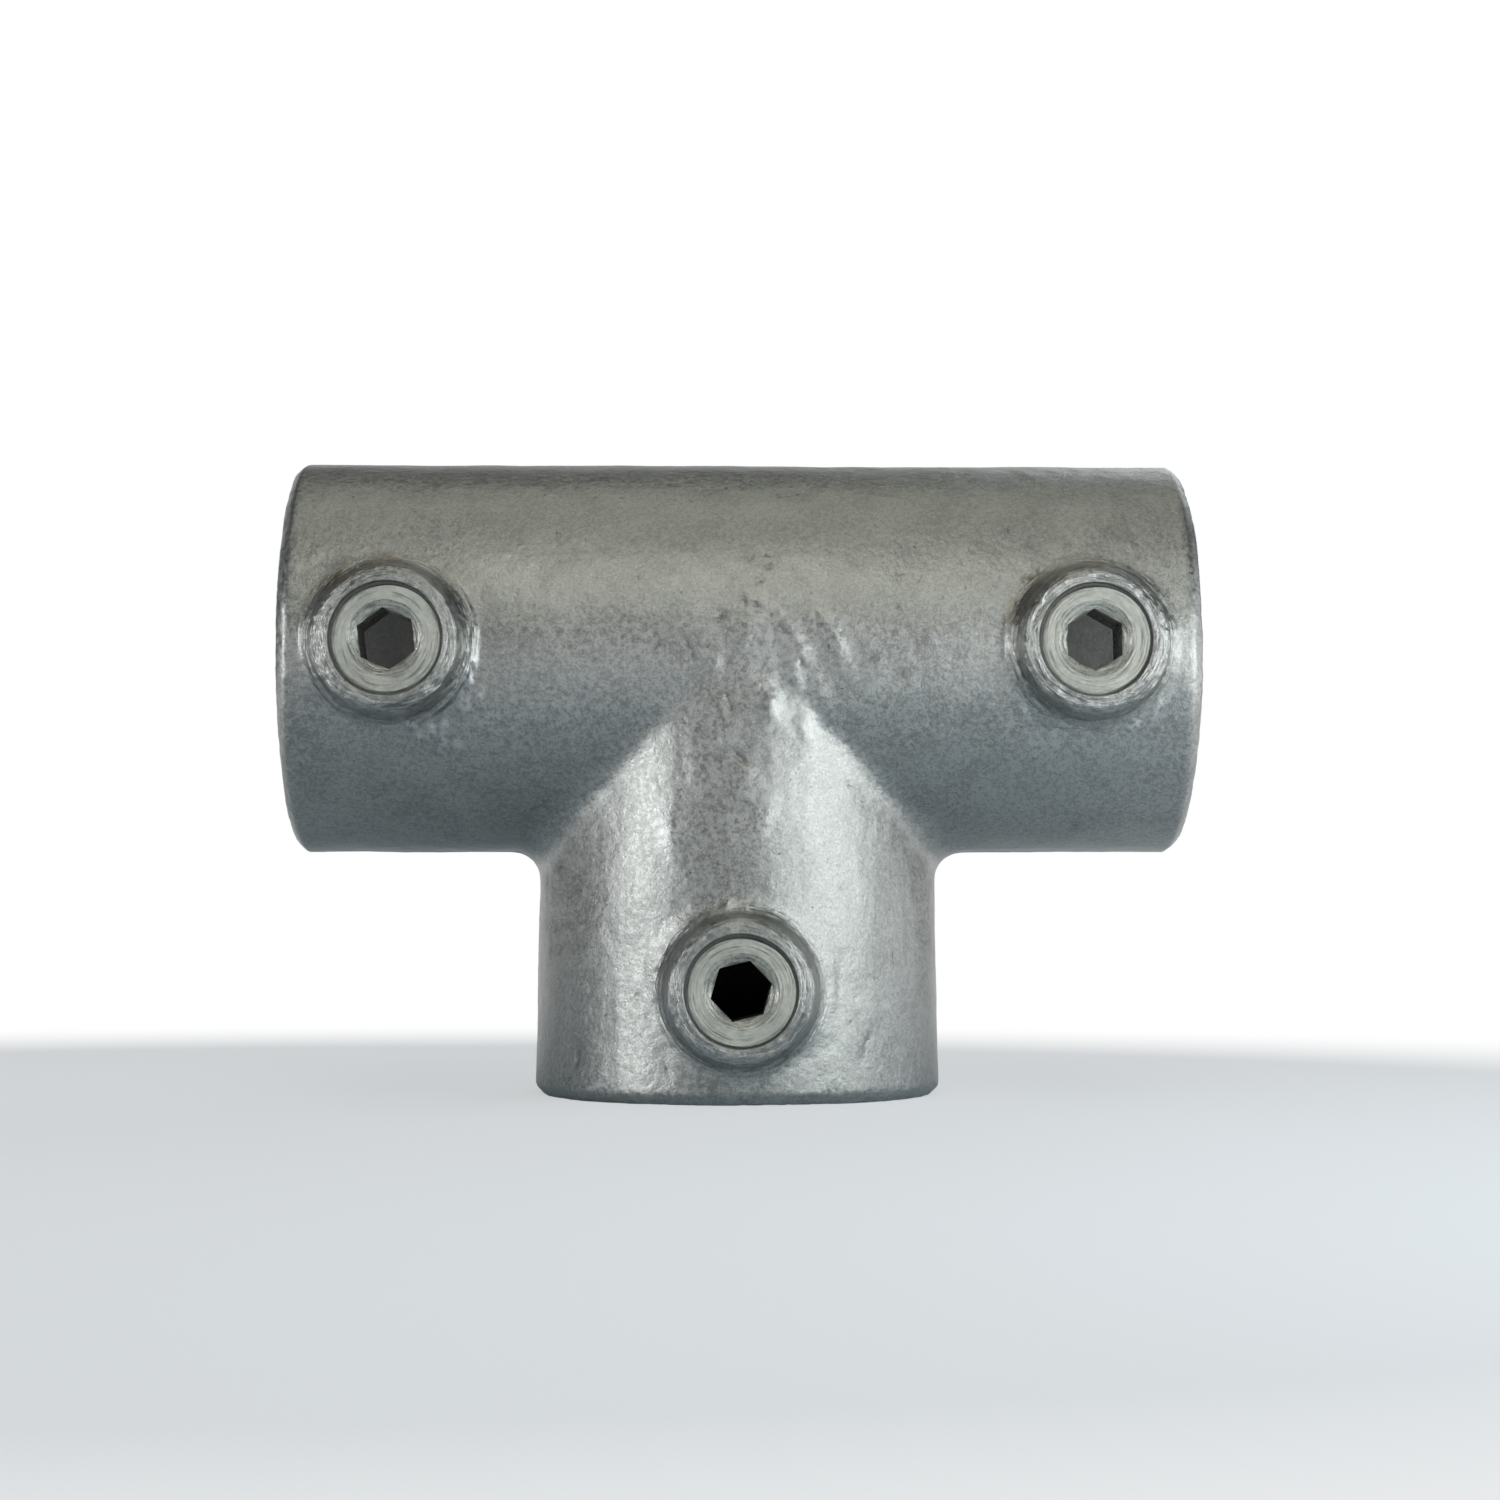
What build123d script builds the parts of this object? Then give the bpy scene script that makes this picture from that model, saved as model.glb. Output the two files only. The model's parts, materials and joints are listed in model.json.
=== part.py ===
"""Long tee for round tube: a galvanised malleable iron casting with three hexagon socket set screws.

A straight run sleeve takes a tube through it, or two tube ends that butt inside, and a branch sleeve takes
the end of a third tube at right angles. One set screw in the front of each socket clamps its tube.

Frame: millimetres, +Z up. The origin is where the run's centreline (X) meets the branch's (Z). The branch
hangs down, its mouth is the face that the fitting stands on, and the set screws point to the front, -Y.
"""

import os
from math import radians, tan

from build123d import *

os.makedirs("parts", exist_ok=True)

# Tube and the bores that take it
TUBE_D = 48.3
TUBE_CLEARANCE = 0.45  # on the radius
BORE_R = TUBE_D / 2 + TUBE_CLEARANCE
STOP_DEPTH = 30.0  # from the run's centreline down to the ledge that stops the branch tube
STOP_OPENING_R = 18.8  # the tube's wall lands on the ledge around this opening
STOP_DRAFT = 6.0  # degrees, the core's taper through the opening

# Sleeves
RUN_LENGTH = 139.0
RUN_R = 30.75
BRANCH_REACH = 69.0  # from the run's centreline to the branch's mouth
BRANCH_ROOT_R = 30.65  # just under RUN_R, so that the two skins merge at the front and back
BRANCH_MOUTH_R = 31.85
INNER_CORNER_R = 4.5  # the blend in the corners between run and branch
MOUTH_OUTER_CHAMFER = 1.4
MOUTH_INNER_CHAMFER = 0.8

# Bosses for the set screws
SCREW_FROM_MOUTH = 17.0
BOSS_FACE = 35.8  # from the sleeve's centreline to the boss's face
BOSS_FACE_R = 10.9
BOSS_DRAFT = 8.0  # degrees
BOSS_RIM_CHAMFER = 0.9
BOSS_FOOT_R = 2.0

# Set screws and their tapped holes: a 3/8 pipe thread, drawn plain at its major diameter
THREAD_R = 16.662 / 2
THREAD_CLEARANCE = 0.06
HOLE_MOUTH_R = 9.1
SCREW_R = THREAD_R - THREAD_CLEARANCE
SCREW_LENGTH = 10.5
SCREW_TIP = BORE_R + 0.3  # the tip waits just outside the bore
SCREW_CHAMFER = 0.7
KEY_ACROSS_FLATS = 8.1

# Name: (place along X, place along Z, degrees that the hexagon is turned)
SET_SCREWS = {
    "set_screw_left": (-(RUN_LENGTH / 2 - SCREW_FROM_MOUTH), 0.0, 37.0),
    "set_screw_right": (RUN_LENGTH / 2 - SCREW_FROM_MOUTH, 0.0, 31.0),
    "set_screw_branch": (0.0, -(BRANCH_REACH - SCREW_FROM_MOUTH), 14.0),
}


def screw_axis(x, z):
    """A set screw's axis, from the sleeve's centreline out to the front."""
    return Axis((x, 0, z), (0, -1, 0))


def half_section_plane(x, z):
    """The plane in which what turns about a set screw's axis is drawn: radius across, distance out up."""
    return Plane(origin=(x, 0, z), x_dir=(1, 0, 0), z_dir=(0, 0, -1))


def cross_section_plane(x, z):
    """The plane square to a set screw's axis, at the sleeve's centreline and facing out."""
    return Plane(origin=(x, 0, z), x_dir=(1, 0, 0), z_dir=(0, -1, 0))


with BuildPart() as tee_casting:
    # Run sleeve
    with BuildSketch(Plane.YZ.offset(-RUN_LENGTH / 2)):
        Circle(RUN_R)
    extrude(amount=RUN_LENGTH)
    chamfer(tee_casting.edges().filter_by(GeomType.CIRCLE), MOUTH_OUTER_CHAMFER)

    # Branch sleeve, which widens from its root to its mouth
    with BuildSketch(Plane.XZ):
        with BuildLine():
            Polyline(
                (0, 0),
                (BRANCH_ROOT_R, 0),
                (BRANCH_MOUTH_R, -BRANCH_REACH),
                (0, -BRANCH_REACH),
                close=True,
            )
        make_face()
        mouth_corner = vertices().group_by(Axis.Y)[0].sort_by(Axis.X)[-1]
        chamfer(mouth_corner, MOUTH_OUTER_CHAMFER)
    revolve(axis=Axis.Z)

    # The line where the sleeves cross is one closed loop, deep in the corners and fading out at the
    # front and back, and the same radius rolls all the way round it
    crossing = tee_casting.edges().filter_by(GeomType.BSPLINE)
    fillet(crossing, INNER_CORNER_R)

    # Set screw bosses, drafted towards the front, each with an eased rim and a filleted foot
    for x, z, _ in SET_SCREWS.values():
        foot_r = BOSS_FACE_R + (BOSS_FACE - BORE_R) * tan(radians(BOSS_DRAFT))
        with BuildSketch(half_section_plane(x, z)):
            with BuildLine():
                Polyline((0, BORE_R), (foot_r, BORE_R), (BOSS_FACE_R, BOSS_FACE), (0, BOSS_FACE), close=True)
            make_face()
            rim_corner = vertices().group_by(Axis.Y)[-1].sort_by(Axis.X)[-1]
            chamfer(rim_corner, BOSS_RIM_CHAMFER)
        revolve(axis=screw_axis(x, z))
        foot = tee_casting.edges(Select.LAST).filter_by(GeomType.BSPLINE)
        fillet(foot, BOSS_FOOT_R)

    # Run bore, straight through
    with BuildSketch(Plane.YZ.offset(-RUN_LENGTH / 2)):
        Circle(BORE_R)
    extrude(amount=RUN_LENGTH, mode=Mode.SUBTRACT)

    # Branch bore up to its ledge, and the drafted opening from the ledge into the run bore
    with BuildSketch(Plane.XY.offset(-BRANCH_REACH)):
        Circle(BORE_R)
    extrude(amount=BRANCH_REACH - STOP_DEPTH, mode=Mode.SUBTRACT)
    with BuildSketch(Plane.XY.offset(-STOP_DEPTH)):
        Circle(STOP_OPENING_R)
    extrude(amount=STOP_DEPTH, taper=-STOP_DRAFT, mode=Mode.SUBTRACT)

    # Eased bore mouths
    circles = tee_casting.edges().filter_by(GeomType.CIRCLE)
    bore_circles = circles.filter_by(lambda edge: abs(edge.radius - BORE_R) < 0.01)
    run_mouths = bore_circles.group_by(Axis.X)
    bore_mouths = run_mouths[0] + run_mouths[-1] + bore_circles.sort_by(Axis.Z)[:1]
    chamfer(bore_mouths, MOUTH_INNER_CHAMFER)

    # Tapped holes with countersunk mouths
    for x, z, _ in SET_SCREWS.values():
        with BuildSketch(cross_section_plane(x, z)):
            Circle(THREAD_R)
        extrude(amount=BOSS_FACE, mode=Mode.SUBTRACT)
        hole_mouth = tee_casting.edges(Select.LAST).filter_by(GeomType.CIRCLE)
        chamfer(hole_mouth, HOLE_MOUTH_R - THREAD_R)
tee_casting.part.label = "tee_casting"
export_step(tee_casting.part, "parts/tee_casting.step")


# Set screws: turned blanks with a hexagon right through, so that a key reaches in from the front
for name, (x, z, turn) in SET_SCREWS.items():
    face = SCREW_TIP + SCREW_LENGTH
    with BuildPart() as set_screw:
        with BuildSketch(half_section_plane(x, z)):
            with BuildLine():
                Polyline((0, SCREW_TIP), (SCREW_R, SCREW_TIP), (SCREW_R, face), (0, face), close=True)
            make_face()
            corners = vertices().group_by(Axis.X)[-1]
            chamfer(corners, SCREW_CHAMFER)
        revolve(axis=screw_axis(x, z))
        with BuildSketch(cross_section_plane(x, z)):
            RegularPolygon(KEY_ACROSS_FLATS / 2, 6, major_radius=False, rotation=turn)
        extrude(amount=BOSS_FACE, mode=Mode.SUBTRACT)
    set_screw.part.label = name
    export_step(set_screw.part, f"parts/{name}.step")
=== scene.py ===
"""Dresses the long tee for round tube: its galvanised casting and its three threaded set screws.

Everything is in metres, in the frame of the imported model: the run lies along X, the branch hangs down -Z and
the set screws point to the front, -Y.
"""

import json
from math import cos, pi, radians, sin, tan

import bpy
import numpy as np
from mathutils import Matrix, Vector

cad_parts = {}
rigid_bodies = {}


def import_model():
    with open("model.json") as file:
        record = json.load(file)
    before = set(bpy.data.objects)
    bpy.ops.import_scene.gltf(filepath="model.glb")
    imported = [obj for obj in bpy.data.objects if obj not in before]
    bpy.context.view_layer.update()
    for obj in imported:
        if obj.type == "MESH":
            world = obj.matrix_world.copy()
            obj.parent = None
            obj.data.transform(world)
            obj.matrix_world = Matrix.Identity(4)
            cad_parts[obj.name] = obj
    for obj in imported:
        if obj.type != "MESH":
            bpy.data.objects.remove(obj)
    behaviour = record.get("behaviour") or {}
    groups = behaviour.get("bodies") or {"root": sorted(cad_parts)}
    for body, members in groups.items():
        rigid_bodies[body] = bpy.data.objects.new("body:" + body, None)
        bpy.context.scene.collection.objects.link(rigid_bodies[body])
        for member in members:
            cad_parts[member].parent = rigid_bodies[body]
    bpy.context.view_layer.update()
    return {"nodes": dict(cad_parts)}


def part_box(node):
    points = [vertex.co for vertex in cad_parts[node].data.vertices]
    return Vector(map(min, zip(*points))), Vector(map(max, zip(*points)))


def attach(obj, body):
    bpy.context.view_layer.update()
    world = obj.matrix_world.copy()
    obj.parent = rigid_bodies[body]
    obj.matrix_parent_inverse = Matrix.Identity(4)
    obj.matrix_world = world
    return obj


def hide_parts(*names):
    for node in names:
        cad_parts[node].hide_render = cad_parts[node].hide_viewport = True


bpy.ops.object.select_all(action="SELECT")
bpy.ops.object.delete()
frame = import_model()


# ---------------------------------------------------------------------------------------------------------
# The tee is one sand casting in malleable iron, two sleeves and three bosses, dipped in molten zinc. The zinc
# rounds every edge, gathers in soft lumps where it ran off, and leaves the skin a little uneven all over.
# ---------------------------------------------------------------------------------------------------------

SET_SCREWS = ("set_screw_left", "set_screw_right", "set_screw_branch")
SKIN_VOXEL = 0.00045
CASTING_TRIANGLES = 165_000
ROUND_SIDES = 96


def select_only(piece):
    """Leaves this object alone selected, and active."""
    bpy.ops.object.select_all(action="DESELECT")
    piece.select_set(True)
    bpy.context.view_layer.objects.active = piece


def apply_modifier(piece, kind, **settings):
    """Adds one modifier to a piece and applies it."""
    select_only(piece)
    bpy.ops.object.modifier_add(type=kind)
    modifier = piece.modifiers[-1]
    for name, value in settings.items():
        setattr(modifier, name, value)
    bpy.ops.object.modifier_apply(modifier=modifier.name)


def join(piece, *others):
    """Makes the others part of the first one's mesh."""
    select_only(piece)
    for other in others:
        other.select_set(True)
    bpy.ops.object.join()


def middle_of(name):
    """A set screw's axis: its place along X and along Z."""
    low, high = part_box(name)
    return (low.x + high.x) / 2, (low.z + high.z) / 2


def cylinder_to_front(x, z, radius, back, front):
    """A cylinder along Y between two distances in front of the sleeves' centreline."""
    bpy.ops.mesh.primitive_cylinder_add(
        vertices=ROUND_SIDES,
        radius=radius,
        depth=front - back,
        location=(x, -(front + back) / 2, z),
        rotation=(pi / 2, 0, 0),
    )
    bpy.ops.object.transform_apply(location=True, rotation=True, scale=True)
    return bpy.context.object


# The rough casting: the CAD's form with its tapped holes still blank
casting = bpy.data.objects.new("casting", frame["nodes"]["tee_casting"].data.copy())
bpy.context.collection.objects.link(casting)
select_only(casting)
bpy.ops.object.mode_set(mode="EDIT")
bpy.ops.mesh.select_all(action="SELECT")
bpy.ops.mesh.remove_doubles(threshold=1e-6)
bpy.ops.object.mode_set(mode="OBJECT")

boss_face = -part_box("tee_casting")[0].y
branch_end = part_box("tee_casting")[0].z
HOLE_BLANK_R = 0.0094
BORE_R = 0.0246
BLANK_FROM_BORE = 0.0006
blank_start = BORE_R + BLANK_FROM_BORE
blanks = [cylinder_to_front(*middle_of(name), HOLE_BLANK_R, blank_start, boss_face) for name in SET_SCREWS]
join(casting, *blanks)
apply_modifier(casting, "REMESH", mode="VOXEL", voxel_size=SKIN_VOXEL)
apply_modifier(casting, "SMOOTH", factor=0.5, iterations=2)
skin = casting.data


def read_skin(items, name):
    """One property of all the casting's vertices or faces, a row of three for each."""
    values = np.empty(len(items) * 3)
    items.foreach_get(name, values)
    return values.reshape(-1, 3)


def polar(places, name):
    """How far places are from a set screw's axis, in mm, and in which direction, seen from the front."""
    x, z = middle_of(name)
    across, up = (places[:, 0] - x) * 1000, (places[:, 2] - z) * 1000
    return np.hypot(across, up), np.arctan2(up, across)


RUN_HALF_LENGTH = 69.5
BRANCH_REACH = 69.0


def from_mouths(places):
    """How far places are from the nearest mouth, in mm."""
    return np.minimum(RUN_HALF_LENGTH - np.abs(places[:, 0]) * 1000, BRANCH_REACH + places[:, 2] * 1000)


def from_point(places, middle):
    """How far places are from a point, all seen from the front, in mm."""
    return np.hypot(places[:, 0] * 1000 - middle[0], places[:, 2] * 1000 - middle[1])


def in_bores(places, margin):
    """Which places lie in a bore or within a margin of its wall."""
    off_run = np.hypot(places[:, 1], places[:, 2])
    off_branch = np.hypot(places[:, 0], places[:, 1])
    return (off_run < BORE_R + margin) | ((off_branch < BORE_R + margin) & (places[:, 2] < -0.020))


def weigh(name, weights):
    """A vertex group with these weights."""
    group = casting.vertex_groups.new(name=name)
    for weight in np.unique(np.round(weights, 1))[1:]:
        group.add(np.flatnonzero(np.round(weights, 1) == weight).tolist(), weight, "REPLACE")


# The mouths were faced off and stay the crispest. The zinc lies thickest on the bosses' rims and in the
# corners between the sleeves, and softens them most. Sizes in mm.
CRISP_MOUTH = 2
CORNER_SPREAD = 4
CORNER_SIDE = 8
BOSS_SOFT_FROM, BOSS_SOFT_TO = 9.6, 14
INSIDE_R = 28
points = read_skin(skin.vertices, "co")
x, y, z = points.T * 1000
weigh("cast_forms", np.clip((from_mouths(points) - CRISP_MOUTH) / CRISP_MOUTH, 0, 1))
apply_modifier(casting, "SMOOTH", factor=0.5, iterations=6, vertex_group="cast_forms")
off_corner = np.abs(np.abs(x) + z)
soft = np.clip(1.5 - off_corner / CORNER_SPREAD, 0, 1) * (z < 0) * (np.abs(y) > CORNER_SIDE)
for name in SET_SCREWS:
    distance, _ = polar(points, name)
    rim = np.clip(distance - BOSS_SOFT_FROM, 0, 1) * np.clip(BOSS_SOFT_TO - distance, 0, 1)
    soft = np.where(distance < BOSS_SOFT_TO, rim, soft)
off_axis = np.hypot(y, np.where(z < -30, x, z))
weigh("soft_forms", soft * (off_axis > INSIDE_R))
apply_modifier(casting, "SMOOTH", factor=0.5, iterations=24, vertex_group="soft_forms")

# A finer net round the bosses and over the crossing, where the zinc is roughest
FINE_R = 14.0
CROSSING_FINE_R = 19.0
CROSSING_FINE_MIDDLE = (5, -6)
centres = read_skin(skin.polygons, "center")
fine = from_point(centres, CROSSING_FINE_MIDDLE) < CROSSING_FINE_R
for name in SET_SCREWS:
    fine |= polar(centres, name)[0] < FINE_R
fine &= centres[:, 1] < -0.024
select_only(casting)
bpy.ops.object.mode_set(mode="EDIT")
bpy.ops.mesh.select_mode(type="FACE")
bpy.ops.mesh.select_all(action="DESELECT")
bpy.ops.object.mode_set(mode="OBJECT")
skin.polygons.foreach_set("select", fine)
bpy.ops.object.mode_set(mode="EDIT")
bpy.ops.mesh.subdivide(number_cuts=1, smoothness=0.6)
bpy.ops.object.mode_set(mode="OBJECT")

# The zinc's swells, ripple and torn places are kept to the outside, because a core shaped the bores
BORE_MOUTH_MARGIN = 0.0012
points = read_skin(skin.vertices, "co")
in_bore = in_bores(points, BORE_MOUTH_MARGIN)
weigh("outside", np.where(in_bore, 0.0, 1.0))


def cloud(name, size, depth):
    """A soft random texture whose lumps are about this size."""
    texture = bpy.data.textures.new(name, "CLOUDS")
    texture.noise_scale = size
    texture.noise_depth = depth
    texture.noise_basis = "ORIGINAL_PERLIN"
    return texture


# As-cast unevenness: slow swells from the sand mould, the zinc's finer ripple, and torn zinc round the
# bosses, over the crossing and a little along the mouths. Sizes in mm.
TORN_MIDDLE = (6, -6)
TORN_R = 16
TORN_SHARES = (1.0, 0.75, 0.45)
BOSS_TORN_FROM, BOSS_TORN_TO = 8.6, 13.8
TORN_MOUTH = 2.5
torn_places = 0.4 * np.clip((TORN_R - from_point(points, TORN_MIDDLE)) / 6, 0, 1)
for name, share in zip(SET_SCREWS, TORN_SHARES):
    distance, _ = polar(points, name)
    starts = np.clip((distance - BOSS_TORN_FROM) / 0.6, 0, 1)
    torn_places += share * starts * np.clip((BOSS_TORN_TO - distance) / 2.5, 0, 1)
torn_places[points[:, 1] > -0.026] = 0
torn_places += 0.35 * np.clip((TORN_MOUTH - from_mouths(points)) / 1.5, 0, 1) * ~in_bore
weigh("torn_places", torn_places)
mould_swell = cloud("mould_swell", 0.014, 1)
zinc_ripple = cloud("zinc_ripple", 0.0030, 2)
torn_zinc = cloud("torn_zinc", 0.0014, 1)
apply_modifier(casting, "DISPLACE", texture=mould_swell, strength=0.00042, vertex_group="outside")
apply_modifier(casting, "DISPLACE", texture=zinc_ripple, strength=0.00014, vertex_group="outside")
apply_modifier(casting, "DISPLACE", texture=torn_zinc, strength=0.00048, vertex_group="torn_places")

points = read_skin(skin.vertices, "co")
normals = read_skin(skin.vertices, "normal")
raised = np.zeros(len(points))


def zinc_run(x, z, length, width, angle, height, side=-1):
    """Raises a soft long lump on the front, or presses a pit where the height is negative. Sizes in mm.

    With side 1 it is on the back. The wall of the bore behind it moves too, which on the real one it doesn't.
    """
    across, up = points[:, 0] * 1000 - x, points[:, 2] * 1000 - z
    along = across * cos(radians(angle)) + up * sin(radians(angle))
    aside = up * cos(radians(angle)) - across * sin(radians(angle))
    lump = np.exp(-((2 * along / length) ** 2) - (2 * aside / width) ** 2)
    return np.where(points[:, 1] * side > 0.012, lump * height, 0)


def boss_ridge(name, radius, width, start, end, height):
    """Raises a ridge along an arc round a boss, or presses a groove. Sizes in mm, angles in degrees."""
    distance, direction = polar(points, name)
    middle, half = radians(start + end) / 2, radians(end - start) / 2
    turn = np.abs((direction - middle + pi) % (2 * pi) - pi)
    fade = np.clip((half - turn) / radians(25), 0, 1)
    wander = 0.22 * np.sin(3 * direction + radius) + 0.12 * np.sin(7 * direction + 2 * radius)
    ridge = np.exp(-((2 * (distance - radius - wander) / width) ** 2))
    return np.where(points[:, 1] < -0.028, ridge * fade * height, 0)


# Where the sleeves cross, zinc ran down from the run and set in tears, and small beads hang by the bosses.
# Each has its place along X and Z, its length, its width, its degrees from X and its height, in mm.
TEARS = (
    (7.4, 1.6, 9.5, 3.0, 120, 0.34),
    (8.8, -1.0, 5.0, 2.2, 108, 0.16),
    (14.2, 0.2, 8.0, 2.6, 110, 0.32),
    (12.0, 3.0, 8.0, 4.2, 115, 0.18),
    (7.9, -4.8, 5.6, 2.3, 105, 0.36),
    (2.2, -6.3, 2.6, 2.0, 150, 0.24),
    (4.3, -9.2, 4.6, 2.3, 96, 0.36),
    (4.4, -8.6, 8.5, 5.5, 100, 0.34),
    (10.0, -12.6, 7.5, 3.0, 104, 0.34),
    (12.4, -9.0, 8.0, 3.2, 112, 0.22),
    (-4.0, -3.5, 3.6, 2.0, 100, 0.18),
    (-3.7, -15.1, 2.6, 1.9, 30, 0.18),
    (0.7, -19.2, 3.6, 2.0, 135, 0.20),
    (-2.5, -12.0, 9.0, 3.6, 95, 0.18),
    (2.5, 3.5, 11.0, 5.0, 75, 0.24),
    (0.5, -23.0, 5.0, 4.0, 90, 0.24),
    (3.4, -26.0, 9.0, 3.6, 80, 0.22),
    (-5.5, -20.5, 10.0, 4.0, 98, 0.18),
    (-10.5, -29.0, 7.0, 4.0, 100, 0.18),
    (-49.5, -12.5, 2.2, 1.4, 100, 0.26),
    (-46.4, -13.3, 2.8, 1.3, 85, 0.30),
    (-44.2, -12.7, 2.4, 1.2, 95, 0.28),
    (-40.7, -5.6, 3.0, 1.2, 95, 0.34),
    (-41.4, -9.7, 2.6, 1.3, 80, 0.32),
    (-39.8, -3.1, 2.0, 1.0, 90, 0.28),
    (-42.5, -15.5, 2.2, 1.2, 90, 0.22),
    (-48.2, -14.4, 1.6, 1.0, 60, 0.20),
    (-44.8, -15.2, 3.0, 1.3, 92, 0.26),
    (-39.0, -8.0, 2.0, 1.1, 88, 0.24),
    (42.5, -10.5, 2.4, 1.2, 120, 0.24),
    (62.5, -10.0, 3.4, 1.2, 60, 0.28),
    (59.0, -12.5, 2.4, 1.2, 40, 0.26),
    (-2.0, -39.3, 2.2, 1.1, 20, 0.28),
    (1.0, -39.6, 1.4, 1.1, 150, 0.24),
    (-7.0, -42.4, 2.4, 1.2, 40, 0.24),
)
for tear in TEARS:
    raised += zinc_run(*tear)
# Pits from the sand, and dents and scratches from handling, described in the same way
PIT_DEPTH = 0.7
PITS = (
    (-3.1, 3.6, 2.2, 1.7, 80, -0.34),
    (0.4, 6.1, 1.5, 0.9, 110, -0.22),
    (2.1, 5.5, 1.7, 0.8, 150, -0.20),
    (2.9, 9.2, 2.0, 1.1, 60, -0.20),
    (4.3, 11.5, 1.7, 0.9, 50, -0.18),
    (1.8, 13.0, 1.3, 0.9, 40, -0.14),
    (-8.0, -0.4, 2.2, 1.0, 120, -0.16),
    (-7.2, -2.0, 1.6, 0.9, 100, -0.14),
    (-1.8, -9.0, 3.4, 1.0, 108, -0.28),
    (9.0, -3.2, 1.8, 0.8, 100, -0.20),
    (-0.2, -17.4, 3.2, 1.1, 138, -0.34),
    (15.0, 1.6, 1.6, 0.7, 95, -0.18),
    (15.8, -15.0, 0.9, 0.8, 0, -0.16),
    (16.4, -21.1, 1.2, 0.8, 120, -0.16),
    (19.5, -2.4, 2.0, 1.2, 30, -0.16),
    (24.0, -4.8, 2.6, 1.4, 30, -0.12),
    (23.6, 5.0, 2.2, 0.8, 110, -0.18),
    (24.0, 10.3, 2.0, 0.6, 5, -0.14),
    (0.6, -24.2, 1.4, 1.2, 0, -0.18),
    (40.8, 17.4, 1.2, 1.0, 45, -0.20),
    (-16.0, 15.6, 1.3, 0.9, 60, -0.14),
    (19.0, -60.0, 3.2, 0.8, 68, -0.22),
    (-24.6, -62.5, 3.0, 0.8, 80, -0.24),
    (-12.4, -49.0, 1.2, 1.0, 30, -0.18),
    (-15.4, -53.0, 1.2, 0.9, 110, -0.16),
    (-14.2, -56.0, 1.0, 0.8, 20, -0.16),
    (-11.0, -63.5, 1.3, 0.9, 110, -0.16),
    (27.0, 9.5, 1.8, 0.8, 50, -0.14),
    (55.5, -21.0, 1.2, 1.0, 20, -0.14),
    (52.0, -27.0, 1.4, 0.9, 140, -0.14),
    (43.2, 9.8, 1.8, 1.1, 30, -0.20),
    (45.0, 10.6, 1.2, 0.9, 60, -0.16),
)
for pit in PITS:
    raised += PIT_DEPTH * zinc_run(*pit)
# The back has a few soft runs and pits too
for mark in (
    (12.0, -8.0, 22.0, 4.5, 96, 0.22),
    (-18.0, 4.0, 16.0, 4.0, 84, 0.18),
    (-3.0, -46.0, 20.0, 5.0, 92, 0.20),
    (44.0, 2.0, 15.0, 4.0, 88, 0.16),
    (-50.0, -6.0, 18.0, 5.0, 100, 0.18),
    (9.0, -60.0, 7.0, 3.0, 85, 0.26),
    (-8.0, -20.0, 1.5, 1.0, 40, -0.24),
    (-9.6, -22.0, 1.2, 0.9, 90, -0.18),
    (31.0, 11.0, 2.4, 1.0, 60, -0.22),
    (56.0, -14.0, 1.4, 1.1, 15, -0.20),
    (-33.0, -11.0, 3.0, 0.9, 130, -0.20),
    (-61.0, 9.0, 1.6, 1.0, 0, -0.18),
    (15.0, -52.0, 2.6, 0.9, 70, -0.22),
):
    raised += zinc_run(*mark, side=1)
# Round the bosses it piled up in uneven rings: the radius and width, the arc's two ends and the height
for ridge in (
    ("set_screw_left", 9.6, 0.8, 95, 290, -0.22),
    ("set_screw_left", 11.0, 0.9, 150, 245, 0.36),
    ("set_screw_left", 12.4, 0.9, 155, 255, 0.36),
    ("set_screw_left", 12.6, 1.0, 285, 395, 0.38),
    ("set_screw_left", 10.4, 0.8, 300, 420, 0.22),
    ("set_screw_left", 11.4, 0.8, 300, 410, -0.18),
    ("set_screw_right", 9.7, 0.8, 120, 290, -0.22),
    ("set_screw_right", 10.2, 0.7, 280, 430, -0.20),
    ("set_screw_right", 11.2, 0.8, 290, 430, 0.26),
    ("set_screw_right", 12.0, 0.6, 310, 420, -0.12),
    ("set_screw_right", 12.4, 0.8, 160, 250, 0.20),
    ("set_screw_branch", 9.3, 0.6, 60, 250, -0.14),
    ("set_screw_branch", 9.7, 0.7, 270, 410, -0.16),
    ("set_screw_branch", 11.9, 0.9, 240, 330, 0.14),
    ("set_screw_branch", 12.6, 3.0, 100, 190, 0.30),
    ("set_screw_branch", 13.0, 3.0, 310, 400, 0.24),
    ("set_screw_branch", 10.6, 0.8, 150, 250, 0.20),
    ("set_screw_right", 13.0, 3.0, 200, 290, 0.26),
    ("set_screw_left", 13.2, 2.6, 60, 150, 0.24),
):
    raised += boss_ridge(*ridge)

# The mould's two halves left a low seam along the top, the underside and the branch's sides
SEAM_HEIGHT = 0.14
SEAM_WIDTH = 0.0005
on_seam = (np.abs(normals[:, 1]) < 0.3) & ~in_bore & (np.abs(points[:, 0]) < -branch_end)
raised += np.where(on_seam, SEAM_HEIGHT * np.exp(-((points[:, 1] / SEAM_WIDTH) ** 2)), 0)

points += normals * raised[:, None] / 1000
skin.vertices.foreach_set("co", points.ravel())
skin.update()
triangles = sum(len(face.vertices) - 2 for face in skin.polygons)
apply_modifier(casting, "DECIMATE", ratio=CASTING_TRIANGLES / triangles)
casting.vertex_groups.clear()


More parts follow.
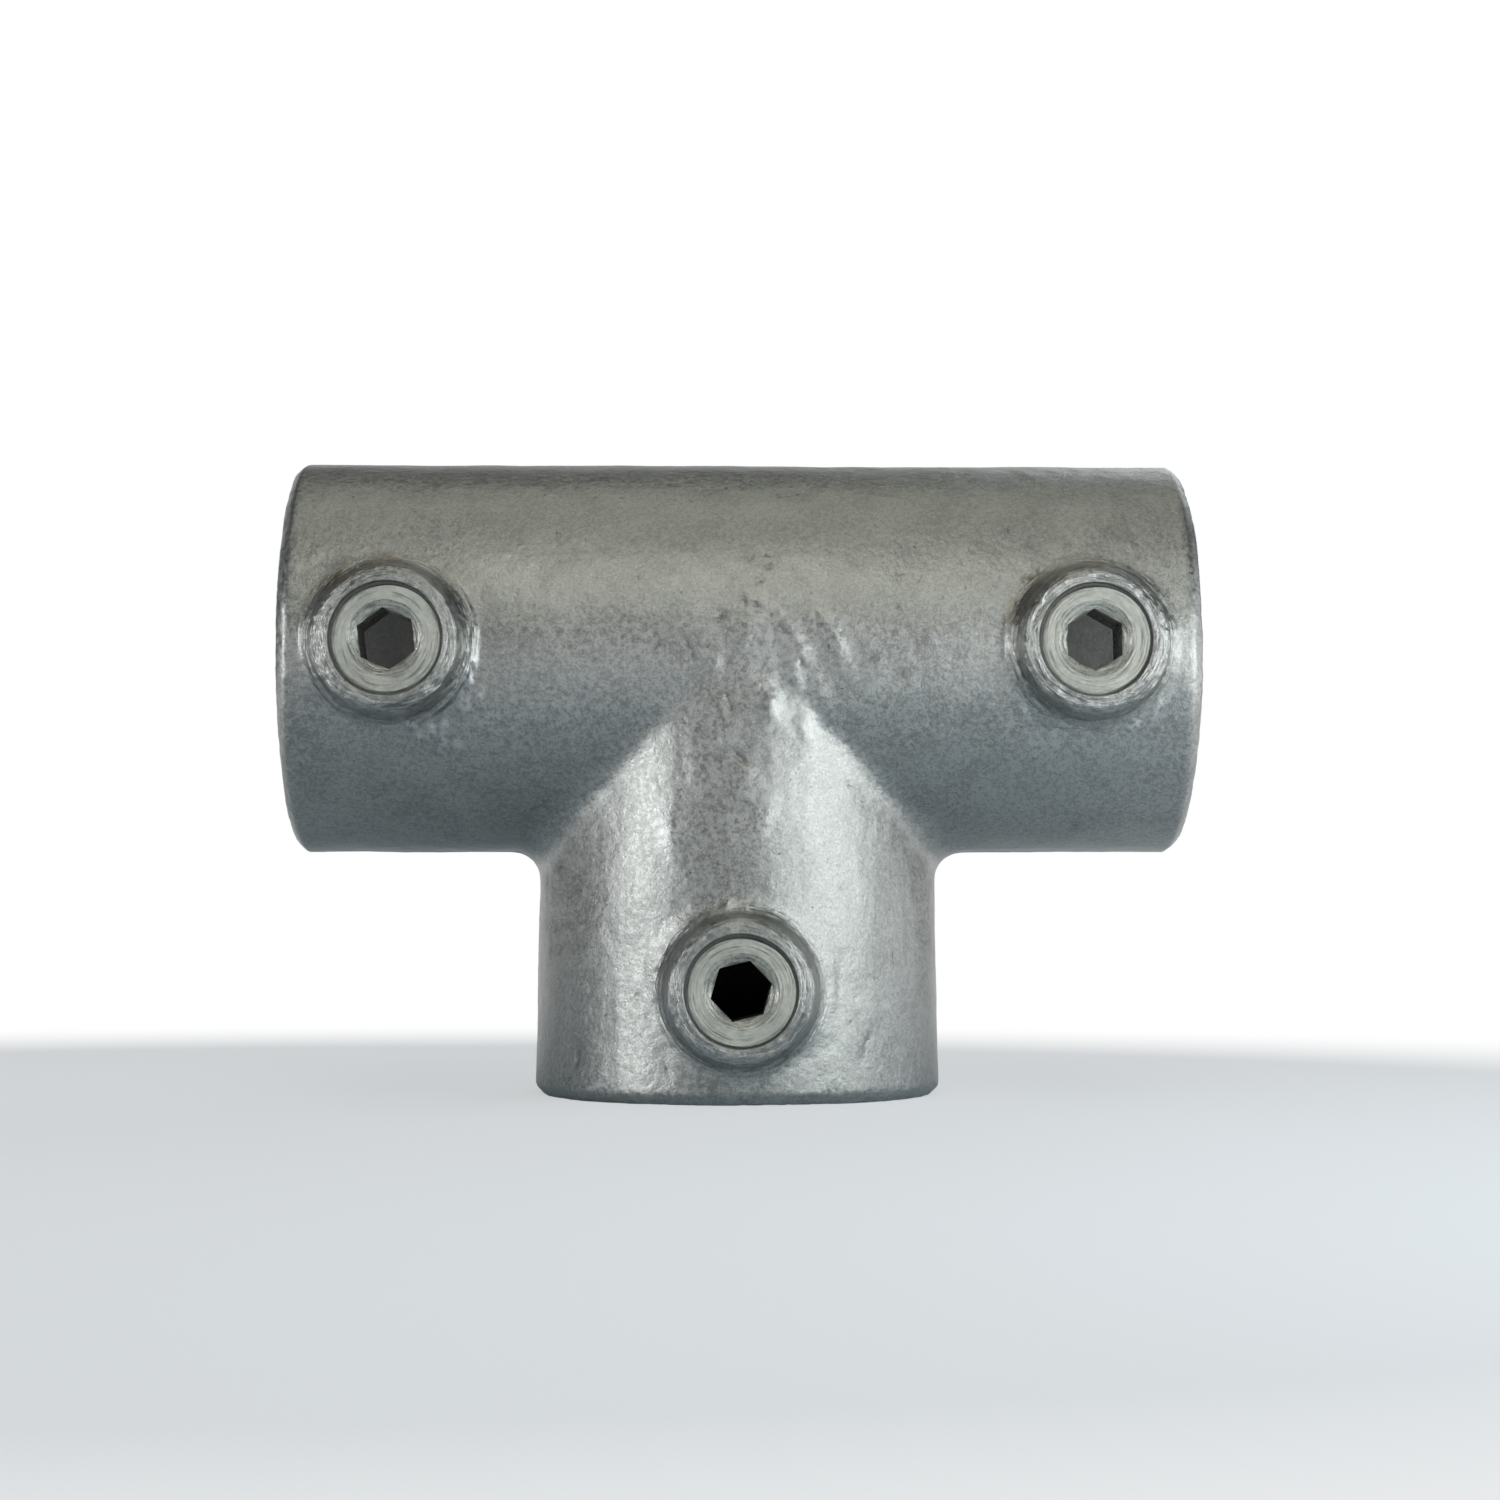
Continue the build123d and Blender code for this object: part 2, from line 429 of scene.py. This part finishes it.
class Value:
    """A node's output socket, on which sums are written as they are on numbers."""

    def __init__(self, finish, socket):
        self.finish = finish
        self.socket = socket

    def maths(self, operation, *values):
        """One sum as a Math node."""
        return self.finish.node("ShaderNodeMath", {"operation": operation}, dict(enumerate(values)))

    def __add__(self, other):
        return self.maths("ADD", self, other)

    def __sub__(self, other):
        return self.maths("SUBTRACT", self, other)

    def __rsub__(self, other):
        return self.maths("SUBTRACT", other, self)

    def __mul__(self, other):
        return self.maths("MULTIPLY", self, other)

    def at_least(self, other):
        """The larger of the two."""
        return self.maths("MAXIMUM", self, other)

    __radd__ = __add__
    __rmul__ = __mul__


class Finish:
    """The shader nodes of one material or of the world."""

    def __init__(self, owner):
        owner.use_nodes = True
        self.owner = owner
        self.tree = owner.node_tree
        self.tree.nodes.clear()

    def node(self, kind, settings=None, sockets=None, output=0):
        """Adds a node: first its settings, then its sockets' values or links."""
        node = self.tree.nodes.new(kind)
        for name, value in (settings or {}).items():
            setattr(node, name, value)
        for name, value in (sockets or {}).items():
            if isinstance(value, Value):
                self.tree.links.new(value.socket, node.inputs[name])
            else:
                node.inputs[name].default_value = value
        return Value(self, node.outputs[output]) if node.outputs else None

    def vector(self, operation, *values, output=0):
        """One sum on vectors, as a Vector Math node."""
        return self.node("ShaderNodeVectorMath", {"operation": operation}, dict(enumerate(values)), output)

    def attribute(self, name):
        """What was written on the mesh under this name."""
        return self.node("ShaderNodeAttribute", {"attribute_name": name}, output="Fac")

    def place(self):
        """The point that is shaded, in metres from the object's origin."""
        return self.node("ShaderNodeTexCoord", output="Object")

    def noise(self, place, grain, detail=3.0, roughness=0.55):
        """Soft noise whose grains are about this many metres wide, from 0 to 1."""
        sockets = {"Vector": place, "Scale": 1 / grain, "Detail": detail, "Roughness": roughness}
        return self.node("ShaderNodeTexNoise", {"noise_dimensions": "3D"}, sockets)

    def step(self, value, low, high):
        """0 below low, 1 above high, and smooth between. With low above high it falls instead."""
        settings = {"interpolation_type": "SMOOTHSTEP"}
        return self.node("ShaderNodeMapRange", settings, {"Value": value, "From Min": low, "From Max": high})

    def band(self, value, low, high, blur):
        """1 between low and high, and 0 outside."""
        return self.step(value, low - blur, low + blur) * self.step(value, high + blur, high - blur)

    def mix(self, factor, first, second):
        """From the first colour to the second."""
        sockets = {"Factor": factor, 6: first, 7: second}
        return self.node("ShaderNodeMix", {"data_type": "RGBA"}, sockets, output=2)

    def bump(self, height, distance, normal=None):
        """Raises the surface by height times distance, in metres."""
        sockets = {"Height": height, "Distance": distance}
        if normal:
            sockets["Normal"] = normal
        return self.node("ShaderNodeBump", None, sockets)

    def principled(self, colour, metallic, roughness, normal):
        """Ends a material in a plain surface of this colour, roughness and relief."""
        sockets = {"Base Color": colour, "Metallic": metallic, "Roughness": roughness, "Normal": normal}
        self.surface(self.node("ShaderNodeBsdfPrincipled", None, sockets))

    def surface(self, shader):
        """Makes a shader the material's surface."""
        self.node("ShaderNodeOutputMaterial", None, {"Surface": shader})


def polar_nodes(finish, place, name):
    """How far a place is from a set screw's axis, and the direction out to it, seen from the front."""
    x, z = middle_of(name)
    offset = finish.vector("SUBTRACT", place, (x, 0, z))
    flat = finish.vector("MULTIPLY", offset, (1, 0, 1))
    return finish.vector("LENGTH", flat, output="Value"), finish.vector("NORMALIZE", flat)


def ring_marks(finish, name, distance, outwards, width, length):
    """Noise drawn out into arcs round a set screw's axis, this wide, and longer for a smaller length."""
    x, z = middle_of(name)
    start = finish.node("ShaderNodeCombineXYZ", None, {"X": x, "Y": distance, "Z": z})
    return finish.noise(finish.vector("MULTIPLY_ADD", outwards, (length, 0, length), start), width)


# Each boss's ring of torn zinc and of stain, from one radius to another, and where the thread's mouth starts
TORN_RING = (0.0084, 0.0128)
STAIN_RING = (0.0108, 0.0136)
RING_BLUR = 0.0012
THREAD_MOUTH = (0.0086, 0.0084)
STAIN_SIDE = (-0.6, 0, 0.8)
zinc = Finish(bpy.data.materials.new("galvanised_iron"))
place = zinc.place()
depth = zinc.node("ShaderNodeSeparateXYZ", None, {0: place}, output="Y")
front = zinc.step(depth, -0.024, -0.028)
patches = zinc.noise(place, 0.007, 2.0, 0.5)
dimples = zinc.noise(place, 0.0034, 2.0, 0.5)
grain = zinc.noise(place, 0.0008, 3.0, 0.6)
dust = zinc.noise(place, 0.00035, 2.0, 0.6)
specks = zinc.step(zinc.noise(place, 0.0016, 4.0, 0.7), 0.32, 0.27)
dirt = zinc.attribute("dirt") * zinc.step(grain, 0.40, 0.60)
dull = zinc.attribute("dull")
bright = zinc.attribute("bright")

# Round each boss the zinc is torn and streaked along the rings, the thread's mouth is painted near black as
# grime and painted shade, and rusty water left a stain at the upper left of the run's bosses
torn, streaks, shade_and_grime, stain = 0.0, 0.5, 0.0, 0.0
for name, share, stained in zip(SET_SCREWS, (1.0, 0.9, 0.8), (1.0, 0.7, 0.0)):
    distance, outwards = polar_nodes(zinc, place, name)
    ring = zinc.band(distance, *TORN_RING, RING_BLUR) * front * share
    streaks = streaks + ring * (ring_marks(zinc, name, distance, outwards, 0.0007, 0.0018) - 0.5)
    torn = ring + torn
    shade_and_grime = zinc.step(distance, *THREAD_MOUTH) * zinc.step(depth, -0.0240, -0.0250) + shade_and_grime
    to_stain = zinc.step(zinc.vector("DOT_PRODUCT", outwards, STAIN_SIDE, output="Value"), 0.55, 0.95)
    stain = zinc.band(distance, *STAIN_RING, RING_BLUR) * to_stain * front * stained + stain

DARK_ZINC, PALE_ZINC = (0.30, 0.305, 0.295, 1), (0.455, 0.46, 0.445, 1)
TORN_ZINC, HIGHLIGHT_ZINC = (0.60, 0.605, 0.60, 1), (0.62, 0.63, 0.635, 1)
STREAK_DIRT, PIT_DARK = (0.12, 0.12, 0.11, 1), (0.11, 0.11, 0.10, 1)
RUST_STAIN = (0.20, 0.145, 0.085, 1)
# Near black: grime, and painted shade in the threads' mouths, round the screws' edges and in their sockets
SHADE_AND_GRIME = (0.06, 0.058, 0.05, 1)
CORE_SKIN_AND_SHADE = (0.15, 0.15, 0.14, 1)
tone = patches * 0.16 + grain * 0.44 + dust * 0.40
blotches = zinc.step(patches * 0.5 + grain * 0.5, 0.40, 0.58)
colour = zinc.mix(zinc.step(tone, 0.39, 0.61), DARK_ZINC, PALE_ZINC)
colour = zinc.mix(torn * zinc.step(streaks, 0.54, 0.70) * 0.7, colour, TORN_ZINC)
# The tears' colour is lightened as a painted highlight
colour = zinc.mix(bright * zinc.step(grain, 0.32, 0.58) * 0.75, colour, HIGHLIGHT_ZINC)
colour = zinc.mix(torn * zinc.step(streaks, 0.43, 0.34) * 0.6, colour, STREAK_DIRT)
colour = zinc.mix(stain * blotches * 0.75, colour, RUST_STAIN)
# Darker in the pits, the more the deeper, and on random dark specks
colour = zinc.mix(specks * 0.45 + dirt * 0.7, colour, PIT_DARK)
# The thread's mouth is painted near black: grime, and painted shade in the recess
colour = zinc.mix(shade_and_grime * 0.7, colour, SHADE_AND_GRIME)
# Inside the bores the colour is darker: the core's duller skin, and painted shade inside them
colour = zinc.mix(dull * 0.8, colour, CORE_SKIN_AND_SHADE)
roughness = 0.36 + 0.13 * zinc.step(grain, 0.35, 0.65) - 0.08 * bright + 0.30 * shade_and_grime.at_least(dull)
normal = zinc.bump(dust, 0.00003)
normal = zinc.bump(grain, 0.00005, normal)
normal = zinc.bump(dimples, 0.00022, normal)
normal = zinc.bump(streaks, 0.00060, normal)
normal = zinc.bump(specks, -0.00008, normal)
zinc.principled(colour, 0.97, roughness, normal)
casting.data.materials.clear()
casting.data.materials.append(zinc.owner)


# ---------------------------------------------------------------------------------------------------------
# Set screws and their tapped holes: a 3/8 inch pipe thread of 19 turns to the inch, rolled on zinc-plated
# steel, with an 8 mm hexagon right through. The same thread, a little wider, is cut in each boss.
# ---------------------------------------------------------------------------------------------------------

PITCH = 0.0254 / 19
THREAD_DEPTH = 0.000856
THREAD_CREST_R = 0.016662 / 2
THREAD_CLEARANCE = 0.00008
STEPS_A_TURN = 72
# One thread's shape: (part of the pitch, part of the depth)
THREAD_SHAPE = ((0.0, 0.0), (0.10, 0.06), (0.40, 0.94), (0.50, 1.0), (0.60, 0.94), (0.90, 0.06), (1.0, 0.0))


def threaded_rod(name, crest_r, length):
    """A rod along Z with a right-hand thread, cut square at 0 and at its length."""
    turns = int(length / PITCH) + 3
    shape = [(crest_r - THREAD_DEPTH * (1 - deep), along * PITCH) for along, deep in THREAD_SHAPE]
    bpy.ops.mesh.primitive_plane_add(size=0.001, location=(0, 0, 0))
    rod = bpy.context.object
    rod.name = name
    bpy.ops.object.mode_set(mode="EDIT")
    bpy.ops.mesh.select_mode(type="VERT")
    bpy.ops.mesh.merge(type="CENTER")
    start = Vector((shape[0][0], 0, shape[0][1] - PITCH * 1.5))
    bpy.ops.transform.translate(value=start)
    for (r0, z0), (r1, z1) in zip(shape, shape[1:]):
        bpy.ops.mesh.extrude_region_move(TRANSFORM_OT_translate={"value": (r1 - r0, 0, z1 - z0)})
    bpy.ops.object.mode_set(mode="OBJECT")
    apply_modifier(
        rod,
        "SCREW",
        axis="Z",
        angle=2 * pi,
        screw_offset=PITCH,
        iterations=turns,
        steps=STEPS_A_TURN,
        render_steps=STEPS_A_TURN,
        use_merge_vertices=True,
        merge_threshold=1e-6,
    )
    bpy.ops.object.mode_set(mode="EDIT")
    for height, up in ((0, -1), (length, 1)):
        bpy.ops.mesh.select_all(action="SELECT")
        bpy.ops.mesh.remove_doubles(threshold=1e-6)
        bpy.ops.mesh.bisect(
            plane_co=(0, 0, height),
            plane_no=(0, 0, up),
            use_fill=True,
            clear_outer=True,
            clear_inner=False,
            threshold=1e-7,
        )
    bpy.ops.mesh.select_all(action="SELECT")
    bpy.ops.mesh.normals_make_consistent(inside=False)
    bpy.ops.object.mode_set(mode="OBJECT")
    return rod


def cut(piece, tool, operation="DIFFERENCE"):
    """Cuts a piece with a tool, which is then thrown away."""
    apply_modifier(piece, "BOOLEAN", object=tool, operation=operation, solver="MANIFOLD")
    bpy.data.objects.remove(tool)


tip, face = (-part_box("set_screw_left")[index].y for index in (1, 0))
screw_length = face - tip

# The screw's blank, turned with a chamfer at each end, leaves the thread's first turns running out
SCREW_CHAMFER = 0.00028
screw_blank_r = THREAD_CREST_R - THREAD_CLEARANCE
set_screw = threaded_rod("set_screw", screw_blank_r, screw_length)
bpy.ops.mesh.primitive_cylinder_add(
    vertices=ROUND_SIDES, radius=screw_blank_r, depth=screw_length, location=(0, 0, screw_length / 2)
)
blank = bpy.context.object
apply_modifier(blank, "BEVEL", width=SCREW_CHAMFER, segments=1, limit_method="ANGLE")
bpy.ops.object.transform_apply(location=True, rotation=True, scale=True)
cut(set_screw, blank, "INTERSECT")

# Key socket, right through, with a cone turned in its mouth
KEY_ACROSS_FLATS = 0.0081
SOCKET_MOUTH_R = 0.0057
SOCKET_MOUTH_SLOPE = 42
CONE_OVER = 0.0005
bpy.ops.mesh.primitive_cylinder_add(
    vertices=6,
    radius=KEY_ACROSS_FLATS / 2 / cos(radians(30)),
    depth=screw_length * 2,
    location=(0, 0, screw_length / 2),
    rotation=(0, 0, pi / 2),
)
bpy.ops.object.transform_apply(location=True, rotation=True, scale=True)
cut(set_screw, bpy.context.object)
cone_r = SOCKET_MOUTH_R + CONE_OVER / tan(radians(SOCKET_MOUTH_SLOPE))
cone_height = cone_r * tan(radians(SOCKET_MOUTH_SLOPE))
bpy.ops.mesh.primitive_cone_add(
    vertices=ROUND_SIDES,
    radius1=0,
    radius2=cone_r,
    depth=cone_height,
    location=(0, 0, screw_length + CONE_OVER - cone_height / 2),
)
bpy.ops.object.transform_apply(location=True, rotation=True, scale=True)
cut(set_screw, bpy.context.object)

# The tap, which cuts each boss's thread through into the bore, and the recess at the hole's mouth, which was
# drilled a little off the thread's axis
RECESS_R = 0.00842
RECESS_DEPTH = 0.0005
RECESS_OFF_AXIS = 0.00014
RECESS_OVER = 0.001
COUNTERSINK_R = 0.0086
COUNTERSINK_IN, COUNTERSINK_OUT = 0.0025, 0.0015
TAP_BEYOND = 2 * PITCH  # whole turns, so that the thread it cuts is in step with the screws'
tap = threaded_rod("tap", THREAD_CREST_R, boss_face - tip + 2 * TAP_BEYOND)
tap.location.z = -TAP_BEYOND
select_only(tap)
bpy.ops.object.transform_apply(location=True, rotation=True, scale=True)


def copy_to_boss(model, name, turn):
    """A copy of what was modelled along Z from the screw's tip, turned and set in a boss."""
    x, z = middle_of(name)
    piece = model.copy()
    piece.data = model.data.copy()
    bpy.context.collection.objects.link(piece)
    piece.rotation_euler = (pi / 2, 0, 0)
    piece.location = (x, -tip, z)
    piece.data.transform(Matrix.Rotation(radians(turn), 4, "Z"))
    select_only(piece)
    bpy.ops.object.transform_apply(location=True, rotation=True, scale=True)
    return piece


SCREW_TURNS = (37, 31, 14)
screws = []
for name, turn in zip(SET_SCREWS, SCREW_TURNS):
    x, z = middle_of(name)
    screw = copy_to_boss(set_screw, name, turn)
    screw.name = name.replace("set_screw", "threaded_screw")
    screws.append(screw)
    cut(casting, copy_to_boss(tap, name, turn))
    off_x, off_z = RECESS_OFF_AXIS * cos(radians(turn * 8)), RECESS_OFF_AXIS * sin(radians(turn * 8))
    recess_ends = boss_face - RECESS_DEPTH, boss_face + RECESS_OVER
    cut(casting, cylinder_to_front(x + off_x, z + off_z, RECESS_R, *recess_ends))
    bpy.ops.mesh.primitive_cone_add(
        vertices=ROUND_SIDES,
        radius1=COUNTERSINK_R - COUNTERSINK_IN,
        radius2=COUNTERSINK_R + COUNTERSINK_OUT,
        depth=COUNTERSINK_IN + COUNTERSINK_OUT,
        location=(x, -boss_face + (COUNTERSINK_IN - COUNTERSINK_OUT) / 2, z),
        rotation=(pi / 2, 0, 0),
    )
    bpy.ops.object.transform_apply(location=True, rotation=True, scale=True)
    cut(casting, bpy.context.object)
bpy.data.objects.remove(set_screw)
bpy.data.objects.remove(tap)

# The tears are glossier and their colour is lightened as a painted highlight, most of all by the bosses, the
# pits are darker, and the bores keep the core's duller skin, darkened further as painted shade inside them
DULL_SHADE_MARGIN = 0.0004
BRIGHT_TEAR, DARKEST_PIT = 0.26, 0.14
CROSSING_R = 0.026
CROSSING_BRIGHTNESS = 0.35
points = read_skin(casting.data.vertices, "co")
inside = in_bores(points, DULL_SHADE_MARGIN)
dirt = np.clip(sum(-zinc_run(*pit) for pit in PITS) / DARKEST_PIT, 0, 1)
bright = np.clip(sum(zinc_run(*tear) for tear in TEARS) / BRIGHT_TEAR, 0, 1)
in_crossing = np.hypot(points[:, 0], points[:, 2]) < CROSSING_R
bright[in_crossing] *= CROSSING_BRIGHTNESS
for name, values in (("bright", bright), ("dirt", dirt), ("dull", inside.astype(float))):
    attribute = casting.data.attributes.new(name, "FLOAT", "POINT")
    attribute.data.foreach_set("value", values)

select_only(casting)
bpy.ops.object.shade_smooth_by_angle(angle=radians(50))
for screw in screws:
    select_only(screw)
    bpy.ops.object.shade_smooth_by_angle(angle=radians(20))

# Turned marks on the screws' faces, a glossier cone, a socket painted dark as its shade, and a ring of grime
# and painted shade where the thread starts
MOUTH_EDGE = (0.0058, 0.0056)
SOCKET_EDGE = (0.0052, 0.0050)
FACE_EDGE = (0.0090, 0.0088)
SHADE_AND_GRIME_RING = (0.0083, 0.0090)
plated = Finish(bpy.data.materials.new("screw_steel"))
place = plated.place()
grain = plated.noise(place, 0.0009, 3.0, 0.6)
wear = plated.noise(place, 0.004, 3.0, 0.6)
depth = plated.node("ShaderNodeSeparateXYZ", None, {0: place}, output="Y")
below_face = plated.step(depth, 0.0009 - face, 0.0016 - face)
turned, shade_and_grime, in_mouth, socket_shade = 0.0, 0.0, 0.0, 0.0
for name in SET_SCREWS:
    distance, outwards = polar_nodes(plated, place, name)
    in_mouth = plated.step(distance, *MOUTH_EDGE) + in_mouth
    socket_shade = plated.step(distance, *SOCKET_EDGE) * below_face + socket_shade
    ring = plated.step(distance, *FACE_EDGE)
    turned = ring * ring_marks(plated, name, distance, outwards, 0.0005, 0.0006) + turned
    shade_and_grime = plated.band(distance, *SHADE_AND_GRIME_RING, 0.0002) + shade_and_grime

DARK_STEEL, PALE_STEEL = (0.40, 0.40, 0.365, 1), (0.57, 0.57, 0.52, 1)
MARK_DIRT = (0.14, 0.14, 0.12, 1)
tone = plated.step(wear * 0.35 + grain * 0.35 + turned * 0.3, 0.37, 0.63)
colour = plated.mix(tone, DARK_STEEL, PALE_STEEL)
colour = plated.mix(plated.step(turned, 0.42, 0.32) * 0.6, colour, MARK_DIRT)
# A ring of grime and painted shade round each screw's edge, in the gap to the boss
colour = plated.mix(shade_and_grime * 0.6, colour, SHADE_AND_GRIME)
# The key socket is painted near black as its shade
colour = plated.mix(socket_shade * 0.85, colour, SHADE_AND_GRIME)
normal = plated.bump(turned, 0.00045, plated.bump(grain, 0.00003))
plated.principled(colour, 0.35, 0.42 + 0.12 * grain - 0.20 * in_mouth, normal)
for screw in screws:
    screw.data.materials.clear()
    screw.data.materials.append(plated.owner)

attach(casting, "casting")
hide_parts("tee_casting")
for name, screw in zip(SET_SCREWS, screws):
    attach(screw, name.replace("set_screw_", "") + "_screw")
    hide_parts(name)


# ---------------------------------------------------------------------------------------------------------
# The floor is a plain pale tabletop, which turns white with distance, in front of a white paper backdrop.
# ---------------------------------------------------------------------------------------------------------

FLOOR_MIDDLE = (-0.05, -0.07, branch_end)
FLOOR_FADE = (0.10, 0.34)
FLOOR_WHITE = 0.5
FLOOR_COLOUR = (0.66, 0.76, 0.86, 1)
bpy.ops.mesh.primitive_plane_add(size=8, location=(0, 0, branch_end))
floor = bpy.context.object
floor.name = "floor"
bpy.ops.object.transform_apply(location=True, rotation=True, scale=True)


def ray_kinds(finish):
    """1 for rays from the camera, for those off metal and for those through glass, each by itself."""
    kinds = "Is Camera Ray", "Is Glossy Ray", "Is Transmission Ray"
    return [finish.node("ShaderNodeLightPath", output=kind) for kind in kinds]


tabletop = Finish(bpy.data.materials.new("tabletop"))
offset = tabletop.vector("SUBTRACT", tabletop.place(), FLOOR_MIDDLE)
distance = tabletop.vector("LENGTH", offset, output="Value")
far = tabletop.step(distance, *FLOOR_FADE)
seen, mirrored, through = ray_kinds(tabletop)
white_part = (far * seen.at_least(mirrored).at_least(through)).at_least(FLOOR_WHITE * seen)
plain = tabletop.node("ShaderNodeBsdfDiffuse", None, {"Color": FLOOR_COLOUR})
white = tabletop.node("ShaderNodeEmission", None, {"Color": (1, 1, 1, 1), "Strength": 1.0})
tabletop.surface(tabletop.node("ShaderNodeMixShader", None, {0: white_part, 1: plain, 2: white}))
floor.data.materials.append(tabletop.owner)

ROOM_COLOUR = (0.07, 0.075, 0.08, 1)
world = bpy.data.worlds.new("room")
bpy.context.scene.world = world
room = Finish(world)
direction = room.node("ShaderNodeTexCoord", output="Generated")
backwards = room.node("ShaderNodeSeparateXYZ", None, {0: direction}, output="Y")
backdrop = room.step(backwards, 0.76, 0.92)
seen, mirrored, through = ray_kinds(room)
white_part = seen.at_least(mirrored.at_least(through) * backdrop)
room_light = room.mix(white_part, ROOM_COLOUR, (1, 1, 1, 1))
background = room.node("ShaderNodeBackground", None, {"Color": room_light, "Strength": 1.0})
room.node("ShaderNodeOutputWorld", None, {"Surface": background})


# ---------------------------------------------------------------------------------------------------------
# Soft boxes stand round the fitting, off camera: a strong one on the left, a small near one and a weaker one
# on the right, two overhead, and three that light the right side and the back.
# ---------------------------------------------------------------------------------------------------------


def soft_box(name, place, aim, width, height, radiance, colour):
    """A soft light of a given radiance that faces a point."""
    light = bpy.data.lights.new(name, "AREA")
    light.shape = "RECTANGLE"
    light.size = width
    light.size_y = height
    light.color = colour
    light.energy = radiance * width * height * pi
    box = bpy.data.objects.new(name, light)
    bpy.context.collection.objects.link(box)
    box.location = place
    box.rotation_euler = (Vector(place) - Vector(aim)).to_track_quat("Z", "Y").to_euler()
    box.visible_camera = False


MIDDLE = (0, 0, -0.02)
soft_box("left_box", (-1.01, -0.65, 0.10), MIDDLE, 0.52, 0.40, 6.3, (0.98, 1.0, 1.0))
soft_box("near_right_box", (0.22, -0.19, 0.005), (0.04, -0.04, -0.03), 0.27, 0.16, 2.85, (0.94, 1.0, 1.0))
soft_box("front_right_box", (0.33, -1.15, 0.24), MIDDLE, 0.50, 0.36, 1.0, (0.97, 0.99, 1.0))
soft_box("overhead_front", (0, -0.89, 0.79), MIDDLE, 0.50, 0.82, 1.7, (1.0, 1.0, 0.88))
soft_box("overhead", (0, 0.04, 1.18), MIDDLE, 0.80, 0.98, 0.64, (1.0, 1.0, 0.86))
soft_box("right_side_box", (1.13, 0.24, 0.14), MIDDLE, 0.55, 0.50, 1.6, (0.92, 0.96, 1.0))
soft_box("back_right_box", (0.50, 0.86, 0.68), MIDDLE, 0.60, 0.50, 1.8, (0.93, 0.98, 1.0))
soft_box("back_left_box", (-0.80, 0.80, 0.40), MIDDLE, 0.50, 0.50, 0.8, (0.95, 0.98, 1.0))


# ---------------------------------------------------------------------------------------------------------
# The camera, almost level with the branch and straight in front.
# ---------------------------------------------------------------------------------------------------------

camera_data = bpy.data.cameras.new("camera")
camera_data.sensor_width = 36
camera_data.lens = 67.75
camera_data.clip_start = 0.01
camera = bpy.data.objects.new("camera", camera_data)
bpy.context.collection.objects.link(camera)
camera.location = (-0.00744, -0.4504, -0.03996)
camera.rotation_euler = (radians(93.23), 0, radians(-1.2))
bpy.context.scene.camera = camera
bpy.context.scene.view_settings.view_transform = "Standard"
